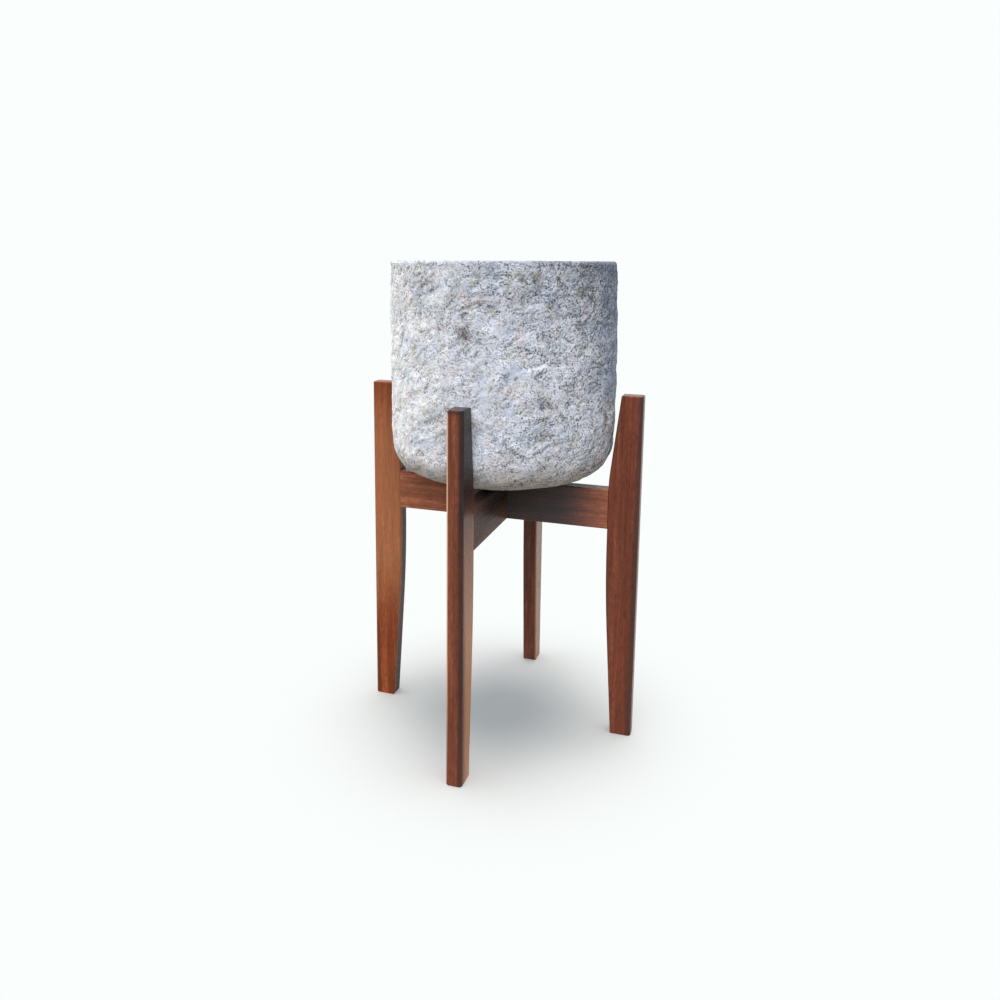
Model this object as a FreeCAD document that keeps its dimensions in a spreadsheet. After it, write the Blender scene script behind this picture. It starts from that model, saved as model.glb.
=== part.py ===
"""Planter with stand: a round cement pot that stands in a four-legged wooden stand.

Lengths are in millimetres. The floor is z = 0, the pot's axis is z, and the two rails run
along x (left to right) and along y (front to back). Every size comes from the table below.
"""
import FreeCAD, Part
import math
import os

import Sketcher

# Sizes of the real object
SIZES = {
    # Stand
    "board_thick": 21.0,
    "rail_height": 288.0,
    "rail_depth": 53.0,
    "edge_round": 1.5,
    "lap_clearance": 0.1,
    "cut_overrun": 2.0,
    # Legs: widths along the rails, and where the inner edge stands from the pot's belly
    "leg_top_width": 28.0,
    "leg_foot_width": 28.0,
    "leg_top_gap": 10.5,
    "leg_joint_tuck": 2.5,
    "leg_rise": 125.0,
    "leg_shoulder_rise": 24.0,
    "leg_taper_drop": 23.0,
    "leg_taper_length": 115.0,
    "leg_outer_round": 4.5,
    # Dowels
    "dowel_radius": 4.0,
    "dowel_length": 40.0,
    "dowel_pitch": 26.0,
    "dowel_chamfer": 1.0,
    "dowel_clearance": 0.05,
    "dowel_end_gap": 1.0,
    # Pot, with its heights measured from its own foot
    "pot_height": 294.0,
    "pot_belly_radius": 150.0,
    "pot_belly_height": 164.0,
    "pot_side_radius": 3360.0,
    "pot_corner_radius": 41.5,
    "pot_dish_radius": 215.0,
    "pot_foot_radius": 35.0,
    "pot_wall": 16.0,
    "pot_rim_round": 4.0,
}

# Which way each leg stands from the pot's axis, in degrees about z
LEG_TURNS = {"right": 0.0, "back": 90.0, "left": 180.0, "front": 270.0}

# Which way each rail turns, and which half of its depth is notched at the crossing
RAILS = {"rail_left_right": (0.0, "upper"), "rail_front_back": (90.0, "lower")}

# Whether a dowel sits above or below the middle of the rail's depth
DOWEL_SIDES = {"upper": "+", "lower": "-"}

# How close two lengths are when they count as the same
NEAR = 0.001

# How a sketch numbers a curve's points and its own axes
START, END, CENTRE = range(1, 4)
ACROSS_AXIS, UP_AXIS = range(-1, -3, -1)
ZERO_POINT = (ACROSS_AXIS, START)

# Formulas that several sub-parts share
JOINT_REACH = "pot_belly_radius - leg_joint_tuck"
STAND_REACH = "pot_belly_radius + leg_top_gap + leg_top_width"
RAIL_TOP = "rail_height + rail_depth"
RAIL_MIDDLE = "rail_height + rail_depth / 2"
BORE_RADIUS = "dowel_radius + dowel_clearance"
BORE_DEPTH = "dowel_length / 2 + dowel_end_gap"


def worth(formula):
    """Work out a formula of size names as a plain number."""
    words = [str(SIZES.get(word, word)) for word in formula.split()]
    return float(FreeCAD.Units.Quantity(" ".join(words)))


def bound(formula):
    """Turn a formula of size names into one that reads the sheet's cells."""
    return " ".join(f"Sizes.{word}" if word in SIZES else word for word in formula.split())


def write_sheet(doc):
    """Write the sizes to the sheet that every sub-part reads."""
    sheet = doc.addObject("Spreadsheet::Sheet", "Sizes")
    for row, (name, value) in enumerate(SIZES.items(), start=1):
        sheet.set(f"A{row}", name)
        sheet.set(f"B{row}", str(value))
        sheet.setAlias(f"B{row}", name)
    doc.recompute()


def new_body(doc, name):
    """Add an empty sub-part with a label of its own."""
    body = doc.addObject("PartDesign::Body", name)
    body.Label = name
    return body


def origin_plane(body, role):
    """Find one of the sub-part's own base planes."""
    return next(item for item in body.Origin.OriginFeatures if item.Role == role)


def new_sketch(body, name, role, offset=None):
    """Add a sketch on a base plane, moved along that plane's normal by a formula."""
    sketch = body.newObject("Sketcher::SketchObject", name)
    sketch.AttachmentSupport = (origin_plane(body, role), "")
    sketch.MapMode = "FlatFace"
    if offset:
        sketch.setExpression("AttachmentOffset.Base.z", bound(offset))
    return sketch


def new_feature(body, kind, name, profile, **lengths):
    """Add a feature on a sketch, with its lengths given as formulas."""
    feature = body.newObject(f"PartDesign::{kind}", name)
    feature.Profile = profile
    for length, formula in lengths.items():
        feature.setExpression(length, bound(formula))
    return feature


def drive(sketch, kind, places, formula):
    """Add a measured constraint that follows the sheet."""
    constraint = Sketcher.Constraint(kind, *places, worth(formula))
    index = sketch.addConstraint(constraint)
    sketch.setExpression(f"Constraints[{index}]", bound(formula))


def chain(sketch, curves, kinds):
    """Join each curve's end to the next one's start, as a corner or tangent."""
    for number, kind in enumerate(kinds):
        following = curves[(number + 1) % len(curves)]
        curve, end = curves[number][0], curves[number][2]
        sketch.addConstraint(Sketcher.Constraint(kind, curve, end, following[0], following[1]))


def add_line(sketch, start, end):
    """Add a straight edge and say which of its ends comes first and last."""
    edge = Part.LineSegment(FreeCAD.Vector(*start), FreeCAD.Vector(*end))
    return sketch.addGeometry(edge, False), START, END


def add_arc(sketch, centre, start, end, turn=1):
    """Add an arc that runs from one point to another, anticlockwise when turn is 1."""
    radius = math.dist(centre, start)
    circle = Part.Circle(FreeCAD.Vector(*centre), FreeCAD.Vector(0, 0, 1), radius)
    places = (start, end)[::turn]
    angles = [math.atan2(place[1] - centre[1], place[0] - centre[0]) for place in places]
    number = sketch.addGeometry(Part.ArcOfCircle(circle, *angles), False)
    return number, *(START, END)[::turn]


def easy_bend(inset, run, bend):
    """Estimate an arc that leaves an upright edge and runs on into a straight, slanting one.

    The two together go as far as the run along the upright and the inset away from it, and
    the arc takes up the first part of the run, which is the bend. It gives the arc's radius
    and how far from the upright it ends. The sketch then settles both exactly.
    """
    turn = 2 * math.atan(inset / (2 * run - bend))
    radius = bend / math.sin(turn)
    return radius, radius * (1 - math.cos(turn))


def edges_where(feature, test):
    """List the names of a feature's edges whose bounds pass a test."""
    edges = enumerate(feature.Shape.Edges, start=1)
    return [f"Edge{number}" for number, edge in edges if test(edge.BoundBox)]


def same(first, second):
    """Say whether two lengths are the same."""
    return abs(first - second) < NEAR


def dress(body, kind, name, base, edges, length, formula):
    """Round or chamfer the named edges of a feature."""
    feature = body.newObject(f"PartDesign::{kind}", name)
    feature.Base = (base, edges)
    feature.setExpression(length, bound(formula))
    return feature


def check_cut(doc, before, after):
    """Stop when a cut has taken nothing away."""
    doc.recompute()
    if after.Shape.Volume > before.Shape.Volume - NEAR:
        raise ValueError(f"{after.Label} cuts nothing")


def leg_profile(body):
    """Draw the leg's wide face.

    The outer edge is upright. The inner edge is upright where the rail meets it, and narrows
    through an easy curve to the top above the joint and to the foot below it.
    """
    reach, joint, rise = worth(STAND_REACH), worth(JOINT_REACH), worth("leg_rise")
    joint_top = (joint, worth(RAIL_TOP))
    joint_low = (joint, worth("rail_height - leg_taper_drop"))
    height = joint_top[1] + rise
    top_in = (reach - worth("leg_top_width"), height)
    foot_in = (reach - worth("leg_foot_width"), 0)

    bend = worth("leg_shoulder_rise")
    radius, inset = easy_bend(top_in[0] - joint, rise, bend)
    shoulder_centre = (joint + radius, joint_top[1])
    shoulder_end = (joint + inset, joint_top[1] + bend)
    bend = worth("leg_taper_length")
    radius, inset = easy_bend(foot_in[0] - joint, joint_low[1], bend)
    taper_centre = (joint + radius, joint_low[1])
    taper_end = (joint + inset, joint_low[1] - bend)

    sketch = new_sketch(body, f"{body.Name}_profile", "XZ_Plane")
    outer = add_line(sketch, (reach, 0), (reach, height))
    top = add_line(sketch, (reach, height), top_in)
    upper = add_line(sketch, top_in, shoulder_end)
    upper_bend = add_arc(sketch, shoulder_centre, shoulder_end, joint_top)
    straight = add_line(sketch, joint_top, joint_low)
    lower_bend = add_arc(sketch, taper_centre, joint_low, taper_end)
    lower = add_line(sketch, taper_end, foot_in)
    foot = add_line(sketch, foot_in, (reach, 0))
    curves = [outer, top, upper, upper_bend, straight, lower_bend, lower, foot]
    corner, smooth = "Coincident", "Tangent"
    chain(sketch, curves, [corner, corner, smooth, smooth, smooth, smooth, corner, corner])
    for upright in (outer, straight):
        sketch.addConstraint(Sketcher.Constraint("Vertical", upright[0]))
    for level in (top, foot):
        sketch.addConstraint(Sketcher.Constraint("Horizontal", level[0]))
    outer_foot, outer_top = (outer[0], START), (outer[0], END)
    sketch.addConstraint(Sketcher.Constraint("PointOnObject", *outer_foot, -1))
    straight_top, straight_low = (straight[0], START), (straight[0], END)
    drive(sketch, "DistanceX", (*ZERO_POINT, *outer_foot), STAND_REACH)
    drive(sketch, "DistanceX", (top[0], END, *outer_top), "leg_top_width")
    drive(sketch, "DistanceX", (foot[0], START, *outer_foot), "leg_foot_width")
    drive(sketch, "DistanceX", (*ZERO_POINT, *straight_top), JOINT_REACH)
    drive(sketch, "DistanceY", (*ZERO_POINT, *straight_top), RAIL_TOP)
    drive(sketch, "DistanceY", (*ZERO_POINT, *straight_low), "rail_height - leg_taper_drop")
    drive(sketch, "DistanceY", (*straight_top, *outer_top), "leg_rise")
    drive(sketch, "DistanceY", (*straight_top, *upper_bend[:2]), "leg_shoulder_rise")
    drive(sketch, "DistanceY", (lower_bend[0], lower_bend[2], *straight_low), "leg_taper_length")
    return sketch


def dowel_height(side):
    """Give the formula for the height of a dowel's middle on one side of the rail's middle."""
    return f"{RAIL_MIDDLE} {side} dowel_pitch / 2"


def bore_sketch(body):
    """Draw the two dowel bores of a joint on the plane where leg and rail meet."""
    sketch = new_sketch(body, f"{body.Name}_bore_circles", "YZ_Plane", JOINT_REACH)
    for height in map(dowel_height, DOWEL_SIDES.values()):
        middle = FreeCAD.Vector(0, worth(height), 0)
        circle = Part.Circle(middle, FreeCAD.Vector(0, 0, 1), worth(BORE_RADIUS))
        bore = sketch.addGeometry(circle, False)
        sketch.addConstraint(Sketcher.Constraint("PointOnObject", bore, CENTRE, UP_AXIS))
        drive(sketch, "DistanceY", (*ZERO_POINT, bore, CENTRE), height)
        drive(sketch, "Radius", (bore,), BORE_RADIUS)
    return sketch


def turn_body(body, degrees, height=None):
    """Turn a sub-part about the pot's axis, and lift it by a formula."""
    body.Placement = FreeCAD.Placement(
        FreeCAD.Vector(0, 0, 0), FreeCAD.Rotation(FreeCAD.Vector(0, 0, 1), degrees)
    )
    if height:
        body.setExpression("Placement.Base.z", bound(height))


def make_leg(doc, name, degrees):
    """Make one leg: a tapered board on edge with two dowel bores.

    The two arrises that face outwards are well rounded, and all the others are just eased.
    """
    body = new_body(doc, name)
    board = new_feature(body, "Pad", f"{name}_board", leg_profile(body), Length="board_thick")
    board.SideType = "Symmetric"
    doc.recompute()
    height = board.Shape.BoundBox.ZMax
    outer_edges = edges_where(
        board, lambda box: box.YLength < NEAR and same(box.XMin, worth(STAND_REACH))
    )
    rounded = dress(
        body, "Fillet", f"{name}_rounded", board, outer_edges, "Radius", "leg_outer_round"
    )
    doc.recompute()
    flat_reach = worth(f"{STAND_REACH} - leg_outer_round")

    def is_arris(box):
        """Pick both wide faces' edges short of the rounds, and those of the top and the foot."""
        on_wide_face = box.YLength < NEAR and box.XMax < flat_reach - NEAR
        return on_wide_face or same(box.ZMin, height) or same(box.ZMax, 0)

    arrises = edges_where(rounded, is_arris)
    eased = dress(body, "Fillet", f"{name}_eased", rounded, arrises, "Radius", "edge_round")
    doc.recompute()
    bores = new_feature(body, "Pocket", f"{name}_bores", bore_sketch(body), Length=BORE_DEPTH)
    bores.Reversed = True
    check_cut(doc, eased, bores)
    turn_body(body, degrees)
    return body


def add_box_outline(sketch, width, low, high):
    """Draw a rectangle centred across between two heights, all given as formulas."""
    half, bottom, top = worth(width) / 2, worth(low), worth(high)
    corners = [(-half, bottom), (half, bottom), (half, top), (-half, top)]
    befores = corners[-1:] + corners[:-1]
    sides = [add_line(sketch, *ends) for ends in zip(befores, corners)]
    chain(sketch, sides, ["Coincident"] * len(sides))
    left, lower, right, upper = (side[0] for side in sides)
    sketch.addConstraint(Sketcher.Constraint("Horizontal", upper))
    for upright in (left, right):
        sketch.addConstraint(Sketcher.Constraint("Vertical", upright))
    sketch.addConstraint(Sketcher.Constraint("Symmetric", lower, START, lower, END, UP_AXIS))
    drive(sketch, "DistanceX", (lower, START, lower, END), width)
    drive(sketch, "DistanceY", (*ZERO_POINT, lower, START), low)
    drive(sketch, "DistanceY", (*ZERO_POINT, upper, START), high)


def make_rail(doc, name, degrees, notched_half):
    """Make one rail: a board on edge, notched to half its depth where the other one crosses.

    The notch is one board wide plus its clearance, so the tops of both rails are level.
    """
    body = new_body(doc, name)
    outline = new_sketch(body, f"{name}_outline", "XZ_Plane")
    add_box_outline(outline, f"2 * ( {JOINT_REACH} )", "rail_height", RAIL_TOP)
    board = new_feature(body, "Pad", f"{name}_board", outline, Length="board_thick")
    board.SideType = "Symmetric"
    doc.recompute()
    length = board.Shape.BoundBox.XLength
    long_edges = edges_where(board, lambda box: same(box.XLength, length))
    eased = dress(body, "Fillet", f"{name}_eased", board, long_edges, "Radius", "edge_round")

    lap = new_sketch(body, f"{name}_lap", "XZ_Plane")
    lap_ends = {
        "upper": (RAIL_MIDDLE, f"{RAIL_TOP} + cut_overrun"),
        "lower": ("rail_height - cut_overrun", RAIL_MIDDLE),
    }
    add_box_outline(lap, "board_thick + 2 * lap_clearance", *lap_ends[notched_half])
    through = "board_thick + 2 * cut_overrun"
    notch = new_feature(body, "Pocket", f"{name}_notch", lap, Length=through)
    notch.SideType = "Symmetric"
    check_cut(doc, eased, notch)

    bores = new_feature(body, "Pocket", f"{name}_bores", bore_sketch(body), Length=BORE_DEPTH)
    check_cut(doc, notch, bores)
    far_bores = body.newObject("PartDesign::Mirrored", f"{name}_far_bores")
    far_bores.Originals = [bores]
    far_bores.MirrorPlane = (origin_plane(body, "YZ_Plane"), [""])
    body.Tip = far_bores
    check_cut(doc, bores, far_bores)
    turn_body(body, degrees)
    return body


def make_dowel(doc, name, degrees, side):
    """Make one dowel that lies half in the leg and half in the rail."""
    body = new_body(doc, name)
    sketch = new_sketch(body, f"{name}_round", "YZ_Plane", JOINT_REACH)
    middle = FreeCAD.Vector(0, 0, 0)
    circle = Part.Circle(middle, FreeCAD.Vector(0, 0, 1), worth("dowel_radius"))
    section = sketch.addGeometry(circle, False)
    sketch.addConstraint(Sketcher.Constraint("Coincident", section, CENTRE, *ZERO_POINT))
    drive(sketch, "Radius", (section,), "dowel_radius")
    rod = new_feature(body, "Pad", f"{name}_rod", sketch, Length="dowel_length")
    rod.SideType = "Symmetric"
    doc.recompute()
    rims = edges_where(rod, lambda box: box.XLength < NEAR)
    dress(body, "Chamfer", f"{name}_ends", rod, rims, "Size", "dowel_chamfer")
    turn_body(body, degrees, dowel_height(side))
    return body


def meeting_centre(first, first_gap, second, second_gap):
    """Find the point at one distance from each of two centres, on the outer lower side."""
    across, up = first[0] - second[0], first[1] - second[1]
    apart = math.hypot(across, up)
    along = (second_gap**2 - first_gap**2 + apart**2) / (2 * apart)
    off = math.sqrt(second_gap**2 - along**2)
    return (
        second[0] + (along * across - off * up) / apart,
        second[1] + (along * up + off * across) / apart,
    )


def level_centre(centre, gap, height):
    """Find the point at one distance from a centre, at a height and on its outer side."""
    return centre[0] + math.sqrt(gap**2 - (height - centre[1]) ** 2), height


def beyond(centre, through, radius):
    """Go from a centre towards a second point as far as a radius."""
    across, up = through[0] - centre[0], through[1] - centre[1]
    share = radius / math.hypot(across, up)
    return centre[0] + across * share, centre[1] + up * share


def add_wall_face(sketch, wall, turn):
    """Draw the dish, corner and side of one face of the pot's wall, from the foot upwards.

    The outer face has no wall taken off its radii and the inner face has the whole wall, so
    the wall is equally thick everywhere. Travel along the inner face is downwards, so its
    curves come back in that order, with a turn of -1.
    """
    rim_round = worth("pot_rim_round")
    radii = {name: f"pot_{name}_radius - {wall}" for name in ("dish", "corner", "side")}
    dish_radius, corner_radius, side_radius = (worth(formula) for formula in radii.values())
    foot = (worth("pot_foot_radius"), worth(wall))
    side_centre = (worth("pot_belly_radius - pot_side_radius"), worth("pot_belly_height"))
    dish_centre = (foot[0], foot[1] + dish_radius)
    corner = meeting_centre(
        side_centre, side_radius - corner_radius, dish_centre, dish_radius - corner_radius
    )
    rim_centre = level_centre(
        side_centre, side_radius - turn * rim_round, worth("pot_height - pot_rim_round")
    )
    dish_end = beyond(dish_centre, corner, dish_radius)
    corner_end = beyond(side_centre, corner, side_radius)
    side_end = beyond(side_centre, rim_centre, side_radius)
    rim_end = (rim_centre[0], worth("pot_height"))
    rises = [
        (dish_centre, foot, dish_end),
        (corner, dish_end, corner_end),
        (side_centre, corner_end, side_end),
    ]
    curves = [
        add_arc(sketch, centre, *ends[::turn], turn) for centre, *ends in rises[::turn]
    ]
    rim = add_arc(sketch, rim_centre, *(side_end, rim_end)[::turn])
    for curve, formula in zip(curves[::turn], radii.values()):
        drive(sketch, "Radius", (curve[0],), formula)
    drive(sketch, "Radius", (rim[0],), "pot_rim_round")
    return curves, rim, rim_end


def pot_profile(body):
    """Draw half of the pot's section.

    A small flat foot runs into a shallow dished base, a round corner and a side that swells a
    little to the belly and draws in again to the rim, each curve tangent to the next.
    """
    foot, height, wall = worth("pot_foot_radius"), worth("pot_height"), worth("pot_wall")
    sketch = new_sketch(body, "pot_section", "XZ_Plane")
    base = add_line(sketch, (0, 0), (foot, 0))
    outer, outer_rim, outer_lip = add_wall_face(sketch, "0", 1)
    inner, inner_rim, inner_lip = add_wall_face(sketch, "pot_wall", -1)
    lip = add_line(sketch, outer_lip, inner_lip)
    floor = add_line(sketch, (foot, wall), (0, wall))
    axis = add_line(sketch, (0, wall), (0, 0))
    curves = [base, *outer, outer_rim, lip, inner_rim, *inner, floor, axis]
    axis_corners = ["Coincident"] * 2
    chain(sketch, curves, ["Tangent"] * (len(curves) - len(axis_corners)) + axis_corners)
    for level in (base, lip, floor):
        sketch.addConstraint(Sketcher.Constraint("Horizontal", level[0]))
    sketch.addConstraint(Sketcher.Constraint("Coincident", base[0], START, *ZERO_POINT))
    sketch.addConstraint(Sketcher.Constraint("PointOnObject", floor[0], END, UP_AXIS))
    outer_side, inner_side = outer[-1][0], inner[0][0]
    belly = (outer_side, CENTRE)
    sketch.addConstraint(Sketcher.Constraint("Coincident", *belly, inner_side, CENTRE))
    drive(sketch, "DistanceX", (*belly, *ZERO_POINT), "pot_side_radius - pot_belly_radius")
    drive(sketch, "DistanceY", (*ZERO_POINT, *belly), "pot_belly_height")
    drive(sketch, "DistanceY", (*ZERO_POINT, lip[0], START), "pot_height")
    drive(sketch, "DistanceY", (*ZERO_POINT, floor[0], START), "pot_wall")
    for across in ((base[0], START, base[0], END), (*ZERO_POINT, floor[0], START)):
        drive(sketch, "DistanceX", across, "pot_foot_radius")
    return sketch


def make_pot(doc):
    """Make the pot by turning its section about the axis, and stand it on the rails."""
    body = new_body(doc, "pot")
    section = pot_profile(body)
    shell = new_feature(body, "Revolution", "pot_shell", section)
    shell.ReferenceAxis = (section, ["V_Axis"])
    turn_body(body, 0, RAIL_TOP)
    return body


def check_document(doc, bodies):
    """Stop when a feature has failed or a sub-part isn't one sound solid."""
    doc.recompute()
    for item in doc.Objects:
        if "Invalid" in item.State or "Error" in item.State:
            raise ValueError(f"{item.Label} failed: {item.State}")
    for body in bodies:
        shape = body.Shape
        if shape.isNull() or not shape.isValid() or len(shape.Solids) != 1:
            raise ValueError(f"{body.Label} isn't one sound solid")


def main():
    """Build every sub-part and write each one to its own file."""
    doc = FreeCAD.newDocument("planter_with_stand")
    write_sheet(doc)
    bodies = [make_pot(doc)]
    bodies += [make_rail(doc, name, *plan) for name, plan in RAILS.items()]
    for way, degrees in LEG_TURNS.items():
        bodies.append(make_leg(doc, f"leg_{way}", degrees))
        for place, side in DOWEL_SIDES.items():
            bodies.append(make_dowel(doc, f"dowel_{way}_{place}", degrees, side))
    check_document(doc, bodies)
    os.makedirs("parts", exist_ok=True)
    for body in bodies:
        body.Shape.exportStep(f"parts/{body.Label}.step")
        box = body.Shape.BoundBox
        print(f"{body.Label}: {body.Shape.Volume:.0f} mm3, z {box.ZMin:.1f} to {box.ZMax:.1f}")


main()
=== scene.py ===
"""Planter with stand: a rough cement pot standing in a stand of stained wood.

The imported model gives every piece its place. Here the pot gets its rough cast surface, the
boards and dowels get their wood, and a floor, light and a camera show them. Lengths are in
metres, the floor is z = 0 and the pot's axis is z.
"""
import math

import bpy
import numpy as np
from mathutils import Matrix, Vector


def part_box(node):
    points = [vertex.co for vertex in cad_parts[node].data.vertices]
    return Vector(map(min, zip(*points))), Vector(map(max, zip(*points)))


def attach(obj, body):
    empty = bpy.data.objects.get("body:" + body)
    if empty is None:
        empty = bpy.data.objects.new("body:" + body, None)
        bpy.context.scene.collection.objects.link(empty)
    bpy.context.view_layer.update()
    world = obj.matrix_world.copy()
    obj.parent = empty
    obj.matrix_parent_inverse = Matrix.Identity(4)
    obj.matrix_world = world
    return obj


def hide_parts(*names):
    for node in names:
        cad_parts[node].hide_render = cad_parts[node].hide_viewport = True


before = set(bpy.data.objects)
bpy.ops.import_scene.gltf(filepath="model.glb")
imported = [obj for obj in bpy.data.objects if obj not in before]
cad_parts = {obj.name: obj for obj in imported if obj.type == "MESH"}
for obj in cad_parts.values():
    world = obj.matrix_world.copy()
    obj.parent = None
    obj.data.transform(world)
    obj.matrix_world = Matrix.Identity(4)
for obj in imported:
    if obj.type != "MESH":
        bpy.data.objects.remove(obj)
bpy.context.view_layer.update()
POT_LOW, POT_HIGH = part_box("pot")

bl_info = {
    "name": "Planter with Stand",
    "version": (1, 0, 0),
    "blender": (4, 5, 0),
    "location": "View3D > Sidebar > Planter",
    "description": "Dresses the planter in rough cement and stained wood, and lights it",
    "category": "Object",
}

# Gradient noise: how many slopes its table holds, the primes that read the table by place, and
# what brings the result to about -1 to 1
SLOPE_COUNT = 4096
LATTICE_PRIMES = (73856093, 19349663, 83492791)
NOISE_GAIN = 1.6

# Noise in the pot's relief: feature size, seed and share
LUMPS = [(0.075, 1, 1.0), (0.033, 2, 0.7), (0.017, 3, 0.4)]
GRIT = [(0.0062, 11, 1.0), (0.0040, 12, 0.7)]

# The same for the ragged edges of torn marks, and the least that it may bring them to
RAGGED_EDGES, LEAST_RAGGED = [(0.0075, 20, 0.8), (0.0042, 21, 0.5)], 0.3

# How far, over what distance and with which seeds the clods sway from their straight slant
SWAY, SWAY_SIZE, SWAY_SEEDS = 0.010, 0.045, (4, 5, 6)

# Clods and flakes: width, lean and seed, and then feature size, seed, start and full level of
# the noise that says where they show
CLODS, TORN_PLACES = (0.016, 0.012, 7), (0.034, 8, -0.25, 0.35)
FLAKES, FLAKED_PLACES = (0.0085, 0.006, 9), (0.024, 10, -0.3, 0.3)

# What is taken off clods and flakes, so that they go in as well as out, and how far the whole
# surface lies under the smooth form
CLOD_MEAN, SURFACE_SINK = 0.42, 0.0008

# A torn mark this deep counts as wholly hollow
HOLLOW_DEPTH = 0.002

# Share of the relief on the lip's outer arris and on its crown, and the power by which the
# lip's dip and shift grow with height
ARRIS_SHARE, CROWN_SHARE = 0.45, 0.2
LIP_POWER = 8

# Marks torn in the cement that show from a step away: each one's turn about the axis in degrees,
# height above the foot, half length, half width, tilt in degrees, depth, and share of brown
MARKS = [
    (-91.4, 0.2063, 0.0075, 0.0068, 60, 0.0026, 0.66),
    (-93.2, 0.2110, 0.0060, 0.0016, 24, 0.0034, 0.60),
    (-92.6, 0.2010, 0.0050, 0.0018, 60, 0.0030, 0.20),
    (-90.2, 0.1948, 0.0080, 0.0040, -30, 0.0010, 0.00),
    (-115.7, 0.2267, 0.0110, 0.0018, 84, 0.0024, 0.10),
    (-71.5, 0.1612, 0.0050, 0.0026, 50, 0.0022, 0.10),
    (-52.8, 0.1226, 0.0100, 0.0080, 5, 0.0018, 0.10),
    (-53.1, 0.1071, 0.0055, 0.0024, 8, 0.0024, 0.10),
    (-55.8, 0.1325, 0.0035, 0.0028, 0, 0.0022, 0.30),
    (-65.0, 0.2715, 0.0042, 0.0034, 20, 0.0022, 0.40),
    (-89.4, 0.2399, 0.0140, 0.0017, 24, 0.0028, 0.30),
    (-84.0, 0.2420, 0.0060, 0.0016, 18, 0.0022, 0.60),
    (-92.5, 0.2290, 0.0060, 0.0016, 40, 0.0026, 0.30),
    (-77.1, 0.2315, 0.0100, 0.0044, 14, 0.0012, 0.40),
    (-111.0, 0.1436, 0.0110, 0.0020, 66, 0.0020, 0.20),
    (-67.5, 0.0690, 0.0120, 0.0018, -32, 0.0022, 0.10),
    (-53.5, 0.0720, 0.0130, 0.0018, 30, 0.0022, 0.10),
    (-11.4, 0.0988, 0.0090, 0.0066, 80, 0.0020, 0.60),
    (-34.9, 0.1821, 0.0060, 0.0022, 20, 0.0022, 0.10),
    (-24.5, 0.0635, 0.0070, 0.0020, 68, 0.0022, 0.00),
    (-83.9, 0.2698, 0.0080, 0.0018, 18, 0.0022, 0.30),
    (-108.5, 0.2569, 0.0070, 0.0022, 30, 0.0024, 0.20),
    (-31.6, 0.2590, 0.0140, 0.0100, 10, 0.0020, 0.00),
    (-42.0, 0.2324, 0.0018, 0.0014, 0, 0.0030, 0.00),
]

# Marks strewn round the back and then in front: how many, and the least and most of each value
MARK_SEED = 12
STREWN_MARKS = [
    (46, (-5, 0.03, 0.004, 0.0014, 5, 0.0012, 0), (230, 0.28, 0.012, 0.0032, 75, 0.0024, 0.4)),
    (60, (-130, 0.05, 0.0025, 0.0009, 5, 0.0012, 0), (10, 0.285, 0.0075, 0.0018, 60, 0.0019, 0.3)),
]

# Which way the pot's side with painted shade faces; its painted light lies the other way
SHADE_WAY = (0.955, 0.297, 0)

# Where the pot's colour changes, from the start of each change to its end: distances from the
# axis towards the side with painted shade, then towards the back, and heights above the floor
PAINTED_SHADE_REACH, BLUE_REACH, PAINTED_LIGHT_REACH = (-0.04, 0.13), (0.092, 0.142), (-0.150, -0.010)
BACK_REACH = (0.03, 0.11)
RIM_BAND_HEIGHTS = (POT_HIGH.z - 0.135, POT_HIGH.z + 0.010)
BLUE_HEIGHTS = (POT_LOW.z + 0.099, POT_LOW.z + 0.149)
TAN_HEIGHTS = (POT_LOW.z + 0.027, POT_LOW.z + 0.067)
LIP_HEIGHTS = (POT_HIGH.z - 0.0052, POT_HIGH.z - 0.0040)

# How far noise carries those changes to and fro
PAINTED_SHADE_WANDER, RIM_WANDER, BLUE_WANDER, TAN_WANDER, LIP_WANDER = 0.16, 0.12, 0.06, 0.05, 0.0016

# Clouds in the cement: size, detail, roughness and distortion, and the levels between which
# they go from 0 to 1
WARM_CLOUDS = (0.017, 1, 0.5, 0.0, 0.50, 0.74)
OLIVE_CLOUDS = (0.0135, 1, 0.5, 0.8, 0.54, 0.74)
COOL_CLOUDS = (0.021, 1.5, 0.5, 0.0, 0.46, 0.74)
PIT_CLUSTERS = (0.0125, 2.5, 0.65, 0.0, 0.42, 0.60)
PITS = (0.0023, 2, 0.6, 0.0, 0.55, 0.58)

# Noise left as it is: size, detail and roughness
DRIFT, TURN_DRIFT = (0.026, 3, 0.6), (0.045, 2, 0.5)
GRAIN, FINE = (0.0019, 2, 0.7), (0.0040, 3, 0.7)
MOTTLES, STROKES = (0.0034, 3, 0.7), (0.0048, 3, 0.65)
CREASE_DETAIL, CREASE_ROUGHNESS = 5, 0.74

# Creases, large and small: feature size, how far they reach from the middle of their noise, and
# size of the breaks between them
LARGE_CREASES, SMALL_CREASES = (0.0110, 0.026, 0.012), (0.0052, 0.034, 0.008)

# How much creases, and then mottles and strokes, are drawn out along the slant
CREASE_DRAW, STROKE_DRAW = (1, 1, 0.7), (1, 1, 0.6)

# Depth of the bump on cement and on wood
CEMENT_BUMP, WOOD_BUMP = 0.0018, 0.00022

# Which way the grain runs in each board and dowel
GRAIN_UP, GRAIN_ACROSS, GRAIN_DEEP = (0, 0, 1), (1, 0, 0), (0, 1, 0)

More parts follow.
